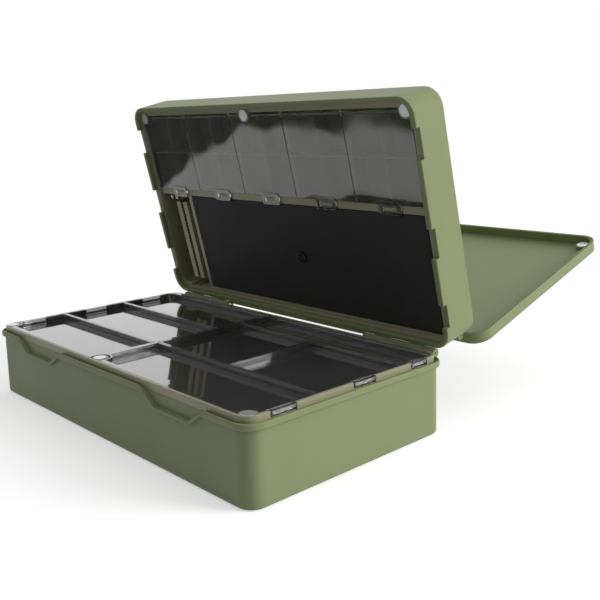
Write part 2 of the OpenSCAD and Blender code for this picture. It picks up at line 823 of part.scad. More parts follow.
// Two pegs in line, at the front and the rear of a lid's seam edge
module lid_pegs(side, peg_x, y0, y1, front_row, rear_row) {
    in_post = notch_half - 0.15;
    in_frame = 1.2 + lid_gap;
    boss_dx = peg_x - magnet_at[1][0];
    socket_y = magnet_at[1][1] + sqrt(pow(boss_r, 2) - pow(boss_dx, 2));
    edge_y = magnet_at[1][1] + sqrt(pow(boss_clear(1), 2) - pow(boss_dx, 2));
    if (front_row)
        bar_y(peg_x, y0 - row_half + 0.15, y0 - row_half + in_post + 0.35, peg_z, peg_r);
    else if (side < 0)
        bar_y(peg_x, y0 - in_frame, y0 + 0.5, peg_z, peg_r);
    else
        bar_y(peg_x, socket_y - 0.7, edge_y + 0.9, peg_z, peg_r);
    if (rear_row)
        bar_y(peg_x, y1 + row_half - in_post - 0.35, y1 + row_half - 0.15, peg_z, peg_r);
    else
        bar_y(peg_x, y1 - 0.5, y1 + in_frame, peg_z, peg_r);
}

// Finger tab on the outer edge of a lid
module finger_tab(side, y, w) {
    x_in = lid_side_x - 0.6;
    length = tab_out_x - x_in;
    translate([side * (x_in + length / 2), y, tab_z0]) linear_extrude(tab_t)
        rounded_rect(length, w, tab_round);
}

left_window = [[-lid_side_x + flange_side, seam_x - seam_half - flange_seam]];
right_inner = seam_x + seam_half + flange_seam + 0.4;
right_window = [[right_inner, lid_side_x - flange_side]];
split_windows = [
    [right_inner, cross_x - window_strip / 2],
    [cross_x + window_strip / 2, lid_side_x - flange_side]
];

module base_lid_left_front() {
    dished_lid(-1, -lid_end_y, left_rows[0] - row_half, false, true, left_window,
               left_tab_y[0], left_tab_w[0]);
}

module base_lid_left_middle() {
    dished_lid(-1, left_rows[0] + row_half, left_rows[1] - row_half, true, true, left_window,
               left_tab_y[1], left_tab_w[1]);
}

module base_lid_left_rear() {
    dished_lid(-1, left_rows[1] + row_half, lid_end_y, true, false, left_window,
               left_tab_y[2], left_tab_w[2]);
}

module base_lid_right_front() {
    dished_lid(1, -lid_end_y, right_rows[0] - row_half, false, true, right_window,
               right_tab_y[0], right_tab_w[0]);
}

module base_lid_right_middle() {
    dished_lid(1, right_rows[0] + row_half, right_rows[1] - row_half, true, true, split_windows,
               right_tab_y[1], right_tab_w[1]);
}

module base_lid_right_rear() {
    dished_lid(1, right_rows[1] + row_half, lid_end_y, true, false, right_window,
               right_tab_y[2], right_tab_w[2]);
}

// ---- Middle tray -------------------------------------------------------------------

// Outer shell, open on both sides. Its lower rim covers the base's
// upstand, and its upper rim holds a seat frame of its own. A lip stiffens
// the rear rim between the hinges.
module tray_shell() {
    top_groove = tray_top - groove_depth;
    corbel_z = top_groove - locate_h + 1.5;
    tray_pose() color(shell_green) difference() {
        union() {
            edge_sweep(box_w, box_d, corner_r)
                rounded_bar(corner_r - tray_wall, corner_r, tray_z, tray_top, tray_edge_r);
            band([box_w - 2, box_d - 2, corner_r - 1], [cover_w, cover_d, cover_r], tray_z, ring_top);
            band([box_w - 2, box_d - 2, corner_r - 1], [seat_w, seat_d, seat_r], corbel_z, top_groove);
            knuckles([1, 3], tray_axis_z, tray_z, tray_axis_z + knuckle_r);
            stop_heels(tray_axis_z, tray_open);
            knuckles([0, 2, 4], lid_axis_z, lid_axis_z - knuckle_r, tray_top);
            block([1 - hinge_x, half_d - 0.8, tray_z], [hinge_x - 1, half_d + lip_proud, tray_z + lip_h]);
        }
        tab_slots(cover_w / 2 - 1, half_w + 1, tray_z - 1, tray_z + upstand_h + 0.1, tab_side_gap + 0.2);
        slab(box_w - 2 * lip_t, box_d - 2 * lip_t, corner_r - lip_t, top_groove, tray_top + 1);
    }
}

// Plate between the tray's two sides, held between their frames. The posts at its
// corners carry the board.
module tray_web() {
    tray_pose() color(shell_green) {
        slab(tray_in_w - 2 * web_gap, tray_in_d - 2 * web_gap, tray_in_r - web_gap, web_z, web_z + web_t);
        for (x = [board_left + post_in, board_right - post_w - post_in],
             y = [board_front + post_in, board_rear - post_w - post_in])
            block([x, y, board_z + board_t + drop_gap], [x + post_w, y + post_w, web_z + bite]);
    }
}

// Stepped frame of the lower side, with the bar behind the flat lids, the rail
// beside the board and the saddles that hold the lids' rods
module tray_frame() {
    bar_y0 = bar_front + 2;
    tray_pose() color(frame_khaki) difference() {
        intersection() {
            union() {
                band([frame_w, frame_d, frame_r], [step_w, step_d, step_r], frame_z, ring_top);
                band([frame_w - 2, frame_d - 2, frame_r - 1], [field_w, field_d, field_r],
                     frame_z + step_h, ring_top);
                block([-frame_w / 2, bar_front, bar_face], [frame_w / 2, bar_rear, bar_face + crossbar_t]);
                block([-field_w / 2, bar_y0, bar_face], [field_w / 2, bar_y0 + bar_wall, web_z]);
                block([pocket_right, bar_rear - 1, bar_face - 0.8],
                      [pocket_right + rail_t, field_rear + 2, web_z]);
                block([comb_right + 0.3, bar_rear - 1, shelf_z],
                      [pocket_right + 1, field_rear + 2, shelf_z + 1.4]);
                pocket_lining();
                magnet_bosses(frame_boss_r, frame_z, web_z);
                rod_posts();
                clip_catches();
            }
            slab(frame_w, frame_d, frame_r, frame_z - 3, web_z);
        }
        magnet_pockets(frame_z - 1, frame_z - 0.1 + magnet_t);
        block([comb_left - 5.5, field_rear - 1, frame_z + step_h - 0.5],
              [pocket_right, lining_y, ring_top + 1]);
        bar_x(-rod_reach, rod_reach, rod_y, rod_z, rod_r + pin_fit);
    }
}

// Upright walls of the open pocket, along its left and its rear
module pocket_lining() {
    wall = 1.4;
    w = field_w + 2 * wall;
    d = 2 * (lining_y + wall);
    intersection() {
        band([w, d, field_r + 2], [field_w, 2 * lining_y, field_r + 2 - wall], ring_top - bite, web_z);
        block([-half_w, bar_rear - 1, 0], [pocket_right + 1, half_d, web_z]);
    }
}

// Middle of flat lid i
function strip_x(i) = -field_w / 2 + strip_gap + strip_pitch * (i + 0.5);

module rod_posts() {
    for (i = [1:strip_count - 1]) {
        x = strip_x(i) - strip_pitch / 2;
        block([x - rod_post_w / 2, field_front - 1.5, rod_z - 0.6],
              [x + rod_post_w / 2, rod_y + 1.6, rod_z + 2]);
    }
}

module clip_catches() {
    catch_w = slot_w - 2;
    catch_d = slot_d - 1.4;
    for (i = [0:strip_count - 1])
        block([strip_x(i) - catch_w / 2, slot_y - catch_d / 2, clip_z + 0.4],
              [strip_x(i) + catch_w / 2, slot_y + catch_d / 2, bar_face + bite]);
}

// Thin walls that make the small compartments: a cross wall under the middle and
// the seam of every flat lid, and lengths of the row wall between them
module strip_cells() {
    top = web_z - 0.1;
    bottom = bar_face + crossbar_t + 0.2;
    front = rod_y + 1.8;
    rear = bar_front + 2 - 0.2;
    row_y = field_front + cell_row;
    wall = cell_wall / 2;
    first = -field_w / 2 + strip_gap;
    step = strip_pitch / 2;
    tray_pose() color(smoke) {
        for (i = [1:2 * strip_count - 1])
            block([first + step * i - wall, front, bottom], [first + step * i + wall, rear, top]);
        for (i = [0:2 * strip_count - 1])
            block([first + step * i + wall + 0.1, row_y - wall, bottom],
                  [first + step * (i + 1) - wall - 0.1, row_y + wall, top]);
    }
}

// One flat lid: the pane, its hinge rod at the front and its snap clip at the rear
module strip_lid(i) {
    x = strip_x(i);
    half = (strip_pitch - strip_gap) / 2;
    notch = (rod_post_w - strip_gap) / 2 + 0.25;
    rod_half = strip_pitch / 2 - 0.15;
    tray_pose() color(smoke) {
        difference() {
            union() {
                difference() {
                    block([x - half, rod_y, strip_z], [x + half, strip_rear, strip_z + strip_t]);
                    for (side = [-1, 1])
                        block([x + side * half - notch, rod_y - 1, strip_z - 1],
                              [x + side * half + notch, rod_y + 2.4, strip_z + strip_t + 1]);
                }
                bar_x(x - rod_half, x + rod_half, rod_y, rod_z, rod_r);
                snap_clip(x);
            }
            for (at = magnet_at)
                translate([at[0], at[1], strip_z - 2]) cylinder(r = frame_boss_r + 1.1, h = 6);
        }
        if (i == 0)
            bar_x(-rod_reach + 0.2, -rod_boss + 1.5, rod_y, rod_z, rod_r);
        if (i == strip_count - 1)
            bar_x(rod_boss - 1.5, rod_reach - 0.2, rod_y, rod_z, rod_r);
    }
}

module snap_clip(x) {
    length = clip_rear - clip_front;
    translate([x, (clip_front + clip_rear) / 2, clip_z]) linear_extrude(clip_t) difference() {
        rounded_rect(clip_w, length, clip_round);
        translate([0, slot_y - (clip_front + clip_rear) / 2]) rounded_rect(slot_w, slot_d, 0.8);
    }
}

module strip_lid_1() {
    strip_lid(0);
}

module strip_lid_2() {
    strip_lid(1);
}

module strip_lid_3() {
    strip_lid(2);
}

module strip_lid_4() {
    strip_lid(3);
}

module strip_lid_5() {
    strip_lid(4);
}

module rig_board() {
    w = board_right - board_left;
    d = board_rear - board_front;
    tray_pose() color(foam_black) difference() {
        translate([board_x, board_y, board_z]) linear_extrude(board_t) rounded_rect(w, d, 3.4);
        translate([board_x, board_y, board_z - 1]) cylinder(r = 2.55, h = board_t + 2);
        for (i = [0:strip_count - 1])
            block([strip_x(i) - clip_w / 2 - 0.5, board_front - 1, board_z - 1],
                  [strip_x(i) + clip_w / 2 + 0.5, clip_rear + 0.5, board_z + board_t + 1]);
    }
}

module rig_board_knob() {
    crown = 1.2;
    stem_r = 2.5;
    tray_pose() color(foam_black) translate([board_x, board_y, board_z]) {
        translate([0, 0, -knob_h]) rotate_extrude() {
            translate([0, crown]) square([knob_d / 2, knob_h - crown]);
            square([knob_d / 2 - crown, knob_h]);
            translate([knob_d / 2 - crown, crown]) circle(r = crown);
        }
        cylinder(r = stem_r, h = board_t + 1.2);
        translate([0, 0, board_t]) cylinder(r = knob_d / 2, h = 1.2);
    }
}

// Half of the comb's face, seen from above: a strip with teeth along one edge
function tooth_row(length, strip, depth) =
    let (count = floor(length / tooth_pitch))
    concat(
        [[0, 0]],
        [for (i = [0:count - 1], end = [0, 1])
            end == 0 ? [strip, i * tooth_pitch] : [strip + depth, (i + 0.5) * tooth_pitch]],
        [[strip, count * tooth_pitch], [0, count * tooth_pitch]]
    );

// Channel that stands on the web, with two facing rows of teeth
module rig_comb() {
    length = comb_rear - comb_front;
    count = floor(length / tooth_pitch);
    strip = (comb_w - comb_slot) / 2 - tooth_d;
    run = count * tooth_pitch;
    top = web_z - 0.05;
    tray_pose() color(frame_khaki) translate([comb_left, comb_front, 0]) {
        for (side = [0, 1]) translate([side * comb_w, 0, 0]) mirror([side, 0, 0]) {
            translate([0, 0, comb_z]) linear_extrude(comb_t) polygon(tooth_row(length, strip, tooth_d));
            block([0, 0, comb_z], [comb_t, run, top]);
        }
        block([0, 0, top - comb_t], [comb_w, run, top]);
    }
}

// Stirrup behind the rear end of the comb: two prongs on a foot
module comb_bracket() {
    prong = 1.4;
    x0 = comb_left - 4;
    x1 = x0 + 8.9;
    y0 = field_rear + 0.4;
    y1 = lining_y - 0.3;
    low = frame_z + step_h + 0.4;
    top = web_z - 0.05;
    tray_pose() color(frame_khaki) {
        for (x = [x0, x1])
            block([x, y0, low], [x + prong, y1, top]);
        block([x0, y0, top - prong], [x1 + prong, y1, top]);
    }
}

// Two hollow pegs in the pocket next to the crossbar
module hook_pegs() {
    peg_outer = 1.7;
    peg_inner = 0.9;
    y = bar_rear + 3;
    z = board_z;
    tray_pose() color(nickel)
        for (i = [0, 1])
            translate([-field_w / 2 + hook_in + hook_pitch * i, y, z]) difference() {
                cylinder(r = peg_outer, h = web_z - 0.05 - z);
                translate([0, 0, -1]) cylinder(r = peg_inner, h = 9);
            }
}

module tray_lower_magnets() {
    tray_pose() color(nickel) magnets(frame_z - 0.1);
}

// Seat frame of the upper side, with its magnet bosses
module tray_top_frame() {
    top = tray_top + upstand_h;
    tray_pose() color(frame_khaki) difference() {
        intersection() {
            union() {
                frame_ring(tray_top, groove_depth);
                magnet_bosses(boss_r, web_z + web_t, top - 0.2);
            }
            union() {
                slab(up_w, up_d, up_r, tray_top - groove_depth, top);
                slab(seat_w - 2 * drop_gap, seat_d - 2 * drop_gap, seat_r - drop_gap, web_z + web_t, top);
            }
        }
        magnet_pockets(top - magnet_t - 0.1, top + 1);
    }
}

module tray_upper_magnets() {
    tray_pose() color(nickel) magnets(tray_top + upstand_h - magnet_t);
}

module lid_hinge_pins() {
    tray_pose() color(nickel) hinge_pins(lid_axis_z);
}

// ---- Top lid -----------------------------------------------------------------------

module top_lid() {
    skirt_top = lid_top - lid_top_t;
    magnet_z = tray_top + upstand_h + 0.3;
    mid_in = lid_wall / 2 - rim_groove_w / 2;
    mid_out = lid_wall / 2 + rim_groove_w / 2;
    lid_pose() color(shell_green) difference() {
        union() {
            band([box_w, box_d, corner_r],
                 [box_w - 2 * lid_wall, box_d - 2 * lid_wall, corner_r - lid_wall],
                 lid_z, lid_top - lid_edge_r);
            slab(box_w - 2 * lid_edge_r, box_d - 2 * lid_edge_r, corner_r - lid_edge_r, skirt_top, lid_top);
            edge_sweep(box_w, box_d, corner_r) intersection() {
                translate([corner_r - lid_edge_r, lid_top - lid_edge_r]) circle(r = lid_edge_r);
                translate([0, lid_top - lid_edge_r]) square(corner_r + 1);
            }
            magnet_bosses(frame_boss_r, magnet_z + 0.3, lid_top - 1);
            knuckles([1, 3], lid_axis_z, lid_z, lid_axis_z + knuckle_r);
            stop_heels(lid_axis_z, lid_open);
        }
        magnet_pockets(magnet_z - 1, magnet_z + magnet_t + 0.1);
        band([box_w - 2 * mid_in, box_d - 2 * mid_in, corner_r - mid_in],
             [box_w - 2 * mid_out, box_d - 2 * mid_out, corner_r - mid_out],
             lid_z - 1, lid_z + rim_groove_d);
    }
}

module lid_magnets() {
    lid_pose() color(nickel) magnets(tray_top + upstand_h + 0.3);
}

base_tub();
base_frame();
base_centre_wall();
base_left_dividers();
base_right_dividers();
base_cross_divider();
base_magnets();
base_lid_left_front();
base_lid_left_middle();
base_lid_left_rear();
base_lid_right_front();
base_lid_right_middle();
base_lid_right_rear();
tray_hinge_pins();
tray_shell();
tray_web();
tray_frame();
strip_cells();
strip_lid_1();
strip_lid_2();
strip_lid_3();
strip_lid_4();
strip_lid_5();
rig_board();
rig_board_knob();
rig_comb();
comb_bracket();
hook_pegs();
tray_lower_magnets();
tray_top_frame();
tray_upper_magnets();
lid_hinge_pins();
top_lid();
lid_magnets();
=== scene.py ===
# %% [markdown]
# # A hinged fishing tackle cabinet
# The box stands open on a pale studio floor: a deep base under smoke-clear lids, a middle
# tray swung upright behind it, and a shallow lid laid back behind the tray. The shapes
# come from the exact model. This lesson gives them moulded edges, real finishes, light
# and a camera, and it explains each step as it goes.

# %% Load the exact model
import json
import math
import bmesh
import bpy
from mathutils import Matrix, Vector


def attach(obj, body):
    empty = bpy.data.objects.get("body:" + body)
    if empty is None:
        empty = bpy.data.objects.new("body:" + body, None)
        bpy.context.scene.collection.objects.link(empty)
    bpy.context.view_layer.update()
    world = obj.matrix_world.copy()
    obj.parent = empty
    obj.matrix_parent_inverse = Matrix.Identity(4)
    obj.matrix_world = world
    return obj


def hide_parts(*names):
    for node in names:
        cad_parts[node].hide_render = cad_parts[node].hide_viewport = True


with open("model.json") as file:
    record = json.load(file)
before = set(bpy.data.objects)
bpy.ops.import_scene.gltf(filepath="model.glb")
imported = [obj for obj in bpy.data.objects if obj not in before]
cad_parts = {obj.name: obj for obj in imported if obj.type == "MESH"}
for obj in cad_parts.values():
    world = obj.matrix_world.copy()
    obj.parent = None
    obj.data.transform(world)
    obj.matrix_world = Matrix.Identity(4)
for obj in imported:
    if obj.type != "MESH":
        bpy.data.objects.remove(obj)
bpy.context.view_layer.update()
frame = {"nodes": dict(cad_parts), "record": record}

nodes = frame["nodes"]
print("pieces in the exact model:", len(nodes))

# %% [markdown]
# ## The camera
# The camera stands off the right front corner, about as high as the top of the open
# tray. Its place and turn were solved from marks on the box, so they are given here as
# they came out: a point, and the directions right, down and ahead. A Blender camera looks
# along its own -Z, so the columns of its matrix are right, up and back. A small shift does
# what the crop of the photograph did. The camera is set first, because every later choice
# is judged through it.

# %% Camera
stand = Vector((0.553446, -0.392867, 0.240296))
right = Vector((0.681995, 0.730884, -0.026293))
down = Vector((0.098707, -0.127607, -0.986901))
ahead = Vector((-0.724665, 0.670467, -0.159170))
turn = Matrix((right, -down, -ahead)).transposed().to_4x4()
camera_data = bpy.data.cameras.new("studio_camera")
camera_data.sensor_width = 36
camera_data.lens = 49.941
camera_data.shift_x = -0.0061
camera_data.shift_y = -0.0813
camera_data.clip_start = 0.01
camera_data.clip_end = 60
camera = bpy.data.objects.new("studio_camera", camera_data)
bpy.context.scene.collection.objects.link(camera)
camera.matrix_world = Matrix.Translation(stand) @ turn
bpy.context.scene.camera = camera
print("camera", [round(v, 3) for v in camera.location], "lens", camera_data.lens, "mm")

# %% [markdown]
# ## Working with shader nodes
# A material is a small graph. Three helpers keep the cells short: one adds a node and
# sets its values, one joins two sockets, and one makes an empty node group with named
# sockets. A group is built once and placed in each material with its own values.

# %% Helpers for nodes and groups
def add(tree, kind, **values):
    """Adds a node. A value for an input is given by the input's name with _ for a space."""
    node = tree.nodes.new(kind)
    for name, value in values.items():
        socket = node.inputs.get(name.replace("_", " "))
        if socket is not None and not hasattr(node, name):
            socket.default_value = value
        else:
            setattr(node, name, value)
    return node


def join(tree, out, socket):
    tree.links.new(out, socket)


def new_group(name, inputs, outputs):
    """An empty group. inputs are (name, kind, value), outputs are (name, kind)."""
    tree = bpy.data.node_groups.new(name, "ShaderNodeTree")
    for label, kind, value in inputs:
        socket = tree.interface.new_socket(label, in_out="INPUT", socket_type="NodeSocket" + kind)
        socket.default_value = value
    for label, kind in outputs:
        tree.interface.new_socket(label, in_out="OUTPUT", socket_type="NodeSocket" + kind)
    entry = tree.nodes.new("NodeGroupInput")
    leave = tree.nodes.new("NodeGroupOutput")
    return tree, entry, leave


print("helpers for nodes and groups ready")

# %% [markdown]
# Values on a surface are worked out by small nodes too. Three more helpers write them in
# one line each: a sum, a change of range, and a colour made lighter or darker.

# %% Helpers for values
def maths(tree, operation, a, b, c=None):
    """A Math node. a, b and c are sockets or plain numbers."""
    node = add(tree, "ShaderNodeMath", operation=operation)
    for k, item in enumerate((a, b, c)):
        if item is None:
            continue
        if isinstance(item, (int, float)):
            node.inputs[k].default_value = item
        else:
            join(tree, item, node.inputs[k])
    return node.outputs[0]


def spread(tree, value, low, high):
    """Takes a value from 0..1 to low..high."""
    node = add(tree, "ShaderNodeMapRange")
    node.inputs["To Min"].default_value = low
    node.inputs["To Max"].default_value = high
    join(tree, value, node.inputs["Value"])
    return node.outputs["Result"]


def tint(tree, colour, factor):
    """Multiplies a colour by a value."""
    node = add(tree, "ShaderNodeVectorMath", operation="SCALE")
    join(tree, colour, node.inputs[0])
    join(tree, factor, node.inputs["Scale"])
    return node.outputs[0]


print("helpers for values ready")

# %% [markdown]
# ## The moulded surface
# The tub, the tray walls and the lid are moulded plastic with a fine grain, so they are
# satin and never quite even. Close up there are small pits, less than a millimetre
# across. From further off the colour drifts a little, and handling leaves faint streaks
# in the gloss. An image could hold all this, but noise needs no picture and no unfolding.
# One group makes all three, and the green, the khaki and the black plastic share it.

# %% Group: moulded surface
pore_share = 0.55
streak_strength = 0.16
edge_lighter, edge_smoother = 0.22, 0.12
moulded, entry, leave = new_group(
    "moulded surface",
    [("Colour", "Color", (0.2, 0.25, 0.15, 1)), ("Mottle", "Float", 0.06), ("Grain", "Float", 2600.0),
     ("Roughness", "Float", 0.5), ("Rubbed", "Float", 0.0)],
    [("Colour", "Color"), ("Roughness", "Float"), ("Height", "Float")])
place = add(moulded, "ShaderNodeTexCoord").outputs["Object"]
cloud = add(moulded, "ShaderNodeTexNoise", Scale=16.0, Detail=3.0, Roughness=0.6)
pits = add(moulded, "ShaderNodeTexNoise", Detail=2.0, Roughness=0.65)
pores = add(moulded, "ShaderNodeTexVoronoi", feature="F1")
join(moulded, maths(moulded, "MULTIPLY", entry.outputs["Grain"], pore_share), pores.inputs["Scale"])
stretch = add(moulded, "ShaderNodeMapping")
stretch.inputs["Scale"].default_value = (1.0, 1.0, 0.12)
streaks = add(moulded, "ShaderNodeTexNoise", Scale=160.0, Detail=4.0, Roughness=0.7)
for pattern in (cloud, pits, pores):
    join(moulded, place, pattern.inputs["Vector"])
join(moulded, place, stretch.inputs["Vector"])
join(moulded, stretch.outputs[0], streaks.inputs["Vector"])
join(moulded, entry.outputs["Grain"], pits.inputs["Scale"])
drift = maths(moulded, "MULTIPLY_ADD", maths(moulded, "SUBTRACT", cloud.outputs["Fac"], 0.5),
              maths(moulded, "MULTIPLY", entry.outputs["Mottle"], 2.0), 1.0)
speck = maths(moulded, "MULTIPLY_ADD", maths(moulded, "SUBTRACT", pits.outputs["Fac"], 0.5),
              entry.outputs["Mottle"], drift)
rub = maths(moulded, "MULTIPLY_ADD", entry.outputs["Rubbed"], edge_lighter, speck)
join(moulded, tint(moulded, entry.outputs["Colour"], rub), leave.inputs["Colour"])
shine = maths(moulded, "MULTIPLY_ADD", maths(moulded, "SUBTRACT", streaks.outputs["Fac"], 0.5),
              streak_strength, entry.outputs["Roughness"])
join(moulded, maths(moulded, "MULTIPLY_ADD", entry.outputs["Rubbed"], -edge_smoother, shine),
     leave.inputs["Roughness"])
join(moulded, maths(moulded, "MULTIPLY_ADD", pores.outputs["Distance"], 0.5, pits.outputs["Fac"]),
     leave.inputs["Height"])
print("group:", moulded.name)

# %% [markdown]
# ## Soft and rubbed edges
# No moulded edge is sharp: the mould's own corners have a small radius, and that is
# where plastic catches the light and where hands rub it. The Bevel node looks around
# each point for such an edge and turns the normal there, so an edge of any shape is
# softened with no change to the exact mesh. Where the turned normal and the plain one
# differ there is an edge, and a little noise breaks that line up, as wear does.

# %% Group: rubbed edges
edges, entry, leave = new_group(
    "rubbed edges", [("Radius", "Float", 0.0008), ("Wear", "Float", 0.5)],
    [("Mask", "Float"), ("Normal", "Vector")])
soft = add(edges, "ShaderNodeBevel", samples=4)
join(edges, entry.outputs["Radius"], soft.inputs["Radius"])
plain = add(edges, "ShaderNodeNewGeometry").outputs["Normal"]
same = add(edges, "ShaderNodeVectorMath", operation="DOT_PRODUCT")
join(edges, soft.outputs[0], same.inputs[0])
join(edges, plain, same.inputs[1])
place = add(edges, "ShaderNodeTexCoord").outputs["Object"]
patchy = add(edges, "ShaderNodeTexNoise", Scale=240.0, Detail=4.0, Roughness=0.7)
join(edges, place, patchy.inputs["Vector"])
turned = add(edges, "ShaderNodeMapRange")
turned.inputs["From Min"].default_value = 0.995
turned.inputs["From Max"].default_value = 0.80
join(edges, same.outputs["Value"], turned.inputs["Value"])
broken = spread(edges, patchy.outputs["Fac"], 0.35, 1.0)
worn = maths(edges, "MULTIPLY", turned.outputs[0], broken)
join(edges, maths(edges, "MULTIPLY", worn, entry.outputs["Wear"]), leave.inputs["Mask"])
join(edges, soft.outputs[0], leave.inputs["Normal"])
print("group:", edges.name)

# %% [markdown]
# ## The handled pane
# The lids over the compartments are polished, so their shine is what shows, and it
# is never perfect. A moulded sheet is gently wavy, which bends whatever it mirrors, and
# fingers leave patches that are a touch duller. A few hair-fine scratches add a trace
# more. The group gives that dullness and the waviness. The see-through body of the
# plastic stays in the material itself.

# %% Group: handled pane
hair_from, hair_dullness = 0.72, 0.015
handled, entry, leave = new_group(
    "handled pane",
    [("Polish", "Float", 0.03), ("Smudge", "Float", 0.08)],
    [("Roughness", "Float"), ("Height", "Float")])
place = add(handled, "ShaderNodeTexCoord").outputs["Object"]
prints = add(handled, "ShaderNodeTexNoise", Scale=28.0, Detail=5.0, Roughness=0.65)
wave = add(handled, "ShaderNodeTexNoise", Scale=14.0, Detail=1.0, Roughness=0.4)
lines = add(handled, "ShaderNodeMapping")
lines.inputs["Scale"].default_value = (0.06, 1.0, 1.0)
lines.inputs["Rotation"].default_value = (0.0, 0.0, 0.5)
hairs = add(handled, "ShaderNodeTexNoise", Scale=420.0, Detail=1.0)
for pattern in (prints, wave, lines):
    join(handled, place, pattern.inputs["Vector"])
join(handled, lines.outputs[0], hairs.inputs["Vector"])
patch = add(handled, "ShaderNodeMapRange", interpolation_type="SMOOTHSTEP")
patch.inputs["From Min"].default_value = 0.52
patch.inputs["From Max"].default_value = 0.72
join(handled, prints.outputs["Fac"], patch.inputs["Value"])
dull = maths(handled, "MULTIPLY_ADD", patch.outputs[0], entry.outputs["Smudge"], entry.outputs["Polish"])
scratched = maths(handled, "GREATER_THAN", hairs.outputs["Fac"], hair_from)
fine = maths(handled, "MULTIPLY", scratched, hair_dullness)
join(handled, maths(handled, "ADD", dull, fine), leave.inputs["Roughness"])
join(handled, wave.outputs["Fac"], leave.inputs["Height"])
print("group:", handled.name)

# %% [markdown]
# ## The finishes
# Each finish starts from a Principled shader. Numbers that are the same all over are set
# on it directly, and only what changes over the surface is wired. The mask of the edges
# makes them a little lighter and smoother, because edges are what hands and the other
# tiers rub against.

# %% Finish: moulded plastic
def moulded_finish(name, colour, roughness, mottle=0.06, grain=2600.0, depth=0.00003,
                   radius=0.0008, wear=0.8):
    """Satin plastic. The depth of the grain and the radius of the edges are in metres."""
    material = bpy.data.materials.new(name)
    material.use_nodes = True
    tree = material.node_tree
    shader = tree.nodes["Principled BSDF"]
    edge = add(tree, "ShaderNodeGroup", node_tree=edges)
    edge.inputs["Radius"].default_value = radius
    edge.inputs["Wear"].default_value = wear
    surface = add(tree, "ShaderNodeGroup", node_tree=moulded)
    surface.inputs["Colour"].default_value = (*colour, 1)
    surface.inputs["Mottle"].default_value = mottle
    surface.inputs["Grain"].default_value = grain
    surface.inputs["Roughness"].default_value = roughness
    join(tree, edge.outputs["Mask"], surface.inputs["Rubbed"])
    bump = add(tree, "ShaderNodeBump", Strength=1.0, Distance=depth)
    join(tree, surface.outputs["Height"], bump.inputs["Height"])
    join(tree, edge.outputs["Normal"], bump.inputs["Normal"])
    join(tree, surface.outputs["Colour"], shader.inputs["Base Color"])
    join(tree, surface.outputs["Roughness"], shader.inputs["Roughness"])
    join(tree, bump.outputs[0], shader.inputs["Normal"])
    return material


green = (0.222, 0.264, 0.124)
khaki = (0.310, 0.302, 0.190)
finish = {
    "shell": moulded_finish("green shell", green, 0.50, radius=0.0009),
    "frame": moulded_finish("khaki frame", khaki, 0.36, grain=3200.0, depth=0.00002, radius=0.0005),
    "knob": moulded_finish("black knob", (0.012, 0.012, 0.012), 0.24, grain=3800.0, depth=0.000006, wear=0.2),
}
print("moulded finishes:", [m.name for m in finish.values()])

# %% [markdown]
# ### Smoke-clear lids
# The lids are clear plastic with grey dye. Light passes, is dimmed on the way in and on
# the way out, and the polished faces mirror the bright room at a low angle. A clear
# shader with a grey tint gives the dimming. Its index of refraction is set above that of
# common clear plastic, 1.5, which strengthens the mirror, and the dished lids have a
# clear coat on top of that. A small share of the plastic is not see-through, so a pane
# over a dark space reads as grey and not black.

# %% Finish: smoke-clear plastic
def smoke_finish(name, colour, clear, wave_depth, ior, coat):
    """Tinted clear plastic. clear is the share that lets light through."""
    material = bpy.data.materials.new(name)
    material.use_nodes = True
    tree = material.node_tree
    shader = tree.nodes["Principled BSDF"]
    shader.inputs["Base Color"].default_value = (*colour, 1)
    shader.inputs["Transmission Weight"].default_value = clear
    shader.inputs["IOR"].default_value = ior
    shader.inputs["Coat Weight"].default_value = coat
    shader.inputs["Coat Roughness"].default_value = 0.03
    surface = add(tree, "ShaderNodeGroup", node_tree=handled)
    surface.inputs["Polish"].default_value = 0.02
    edge = add(tree, "ShaderNodeGroup", node_tree=edges)
    edge.inputs["Radius"].default_value = 0.0004
    bump = add(tree, "ShaderNodeBump", Strength=1.0, Distance=wave_depth)
    join(tree, edge.outputs["Normal"], bump.inputs["Normal"])
    join(tree, surface.outputs["Roughness"], shader.inputs["Roughness"])
    join(tree, surface.outputs["Height"], bump.inputs["Height"])
    join(tree, bump.outputs[0], shader.inputs["Normal"])
    return material


finish["smoke"] = smoke_finish("smoke pane", (0.36, 0.36, 0.365), clear=0.90, wave_depth=0.0004,
                               ior=1.70, coat=1.0)
finish["flat smoke"] = smoke_finish("smoke flat lid", (0.52, 0.52, 0.52), clear=0.99,
                                    wave_depth=0.0014, ior=1.66, coat=0.0)
print("clear finishes:", finish["smoke"].name, "and", finish["flat smoke"].name)

# %% [markdown]
# ### Foam
# The rig board is near-black closed-cell foam with a skin. Its cells, about a millimetre
# across, barely show as bumps. A Voronoi pattern gives the cells, and two sizes of noise
# keep the black from being flat.

